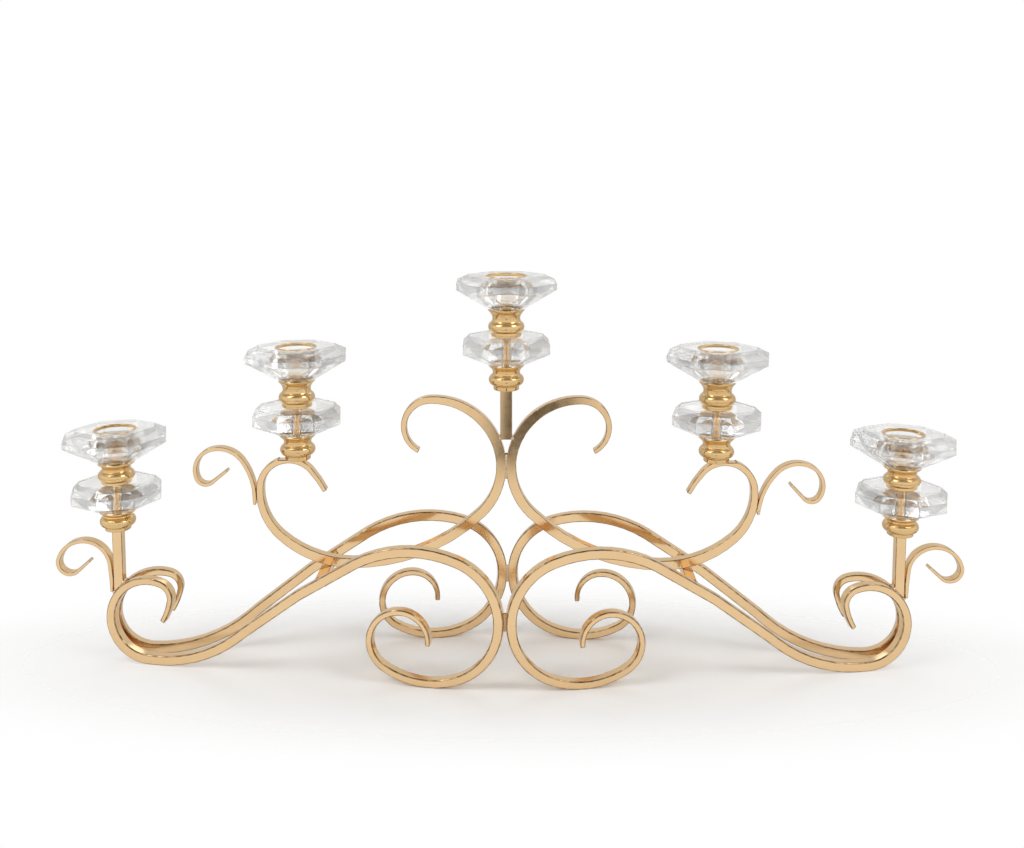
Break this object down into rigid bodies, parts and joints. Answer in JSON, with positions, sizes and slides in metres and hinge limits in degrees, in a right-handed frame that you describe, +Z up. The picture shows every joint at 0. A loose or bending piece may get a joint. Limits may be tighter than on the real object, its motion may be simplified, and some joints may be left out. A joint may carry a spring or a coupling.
{
  "type": "tabletop candelabra",
  "caption": "Tabletop candelabra of bent square bar scrolls carrying candle cups of faceted crystal on turned brass collars, for taper candles.",
  "frame": {"origin": "on the table under the middle of the candelabra", "axes": "+X runs along the length to the right end, -Y is the front, +Z is up"},
  "size_m": [0.5958, 0.0902, 0.2578],
  "materials": {
    "champagne_gold": "satin champagne-gold plated steel",
    "polished_brass": "polished",
    "hardware_brass": "satin",
    "weld_bead": "as welded, plated over",
    "crystal": "clear, faceted and polished"
  },
  "bodies": {
    "frame": {"base_scroll_front_left": "champagne_gold", "base_scroll_front_right": "champagne_gold", "base_scroll_rear_left": "champagne_gold", "base_scroll_rear_right": "champagne_gold", "upper_scroll_left": "champagne_gold", "upper_scroll_right": "champagne_gold", "inner_curl_left": "champagne_gold", "inner_curl_right": "champagne_gold", "outer_curl_left": "champagne_gold", "outer_curl_right": "champagne_gold", "cross_bar_left": "champagne_gold", "cross_bar_right": "champagne_gold", "centre_post": "champagne_gold", "end_post_left": "champagne_gold", "end_post_right": "champagne_gold", "stud_1": "hardware_brass", "stud_2": "hardware_brass", "stud_3": "hardware_brass", "stud_4": "hardware_brass", "stud_5": "hardware_brass"},
    "holder_1": {"lower_collar_1": "polished_brass", "crystal_disc_1": "crystal", "upper_collar_1": "polished_brass", "crystal_cup_1": "crystal", "rim_ring_1": "polished_brass", "well_washer_1": "hardware_brass", "stud_nut_1": "hardware_brass"},
    "holder_2": {"lower_collar_2": "polished_brass", "crystal_disc_2": "crystal", "upper_collar_2": "polished_brass", "crystal_cup_2": "crystal", "rim_ring_2": "polished_brass", "well_washer_2": "hardware_brass", "stud_nut_2": "hardware_brass"},
    "holder_3": {"lower_collar_3": "polished_brass", "crystal_disc_3": "crystal", "upper_collar_3": "polished_brass", "crystal_cup_3": "crystal", "rim_ring_3": "polished_brass", "well_washer_3": "hardware_brass", "stud_nut_3": "hardware_brass"},
    "holder_4": {"lower_collar_4": "polished_brass", "crystal_disc_4": "crystal", "upper_collar_4": "polished_brass", "crystal_cup_4": "crystal", "rim_ring_4": "polished_brass", "well_washer_4": "hardware_brass", "stud_nut_4": "hardware_brass"},
    "holder_5": {"lower_collar_5": "polished_brass", "crystal_disc_5": "crystal", "upper_collar_5": "polished_brass", "crystal_cup_5": "crystal", "rim_ring_5": "polished_brass", "well_washer_5": "hardware_brass", "stud_nut_5": "hardware_brass"}
  },
  "joints": [
    {"name": "holder_turn_1", "type": "hinge", "parent": "frame", "child": "holder_1", "pos_m": [-0.2566, 0, 0.088], "axis": [0, 0, 1], "continuous": true},
    {"name": "holder_turn_2", "type": "hinge", "parent": "frame", "child": "holder_2", "pos_m": [-0.1364, 0, 0.1362], "axis": [0, 0, 1], "continuous": true},
    {"name": "holder_turn_3", "type": "hinge", "parent": "frame", "child": "holder_3", "pos_m": [0, 0, 0.183], "axis": [0, 0, 1], "continuous": true},
    {"name": "holder_turn_4", "type": "hinge", "parent": "frame", "child": "holder_4", "pos_m": [0.1364, 0, 0.1362], "axis": [0, 0, 1], "continuous": true},
    {"name": "holder_turn_5", "type": "hinge", "parent": "frame", "child": "holder_5", "pos_m": [0.2566, 0, 0.088], "axis": [0, 0, 1], "continuous": true}
  ]
}
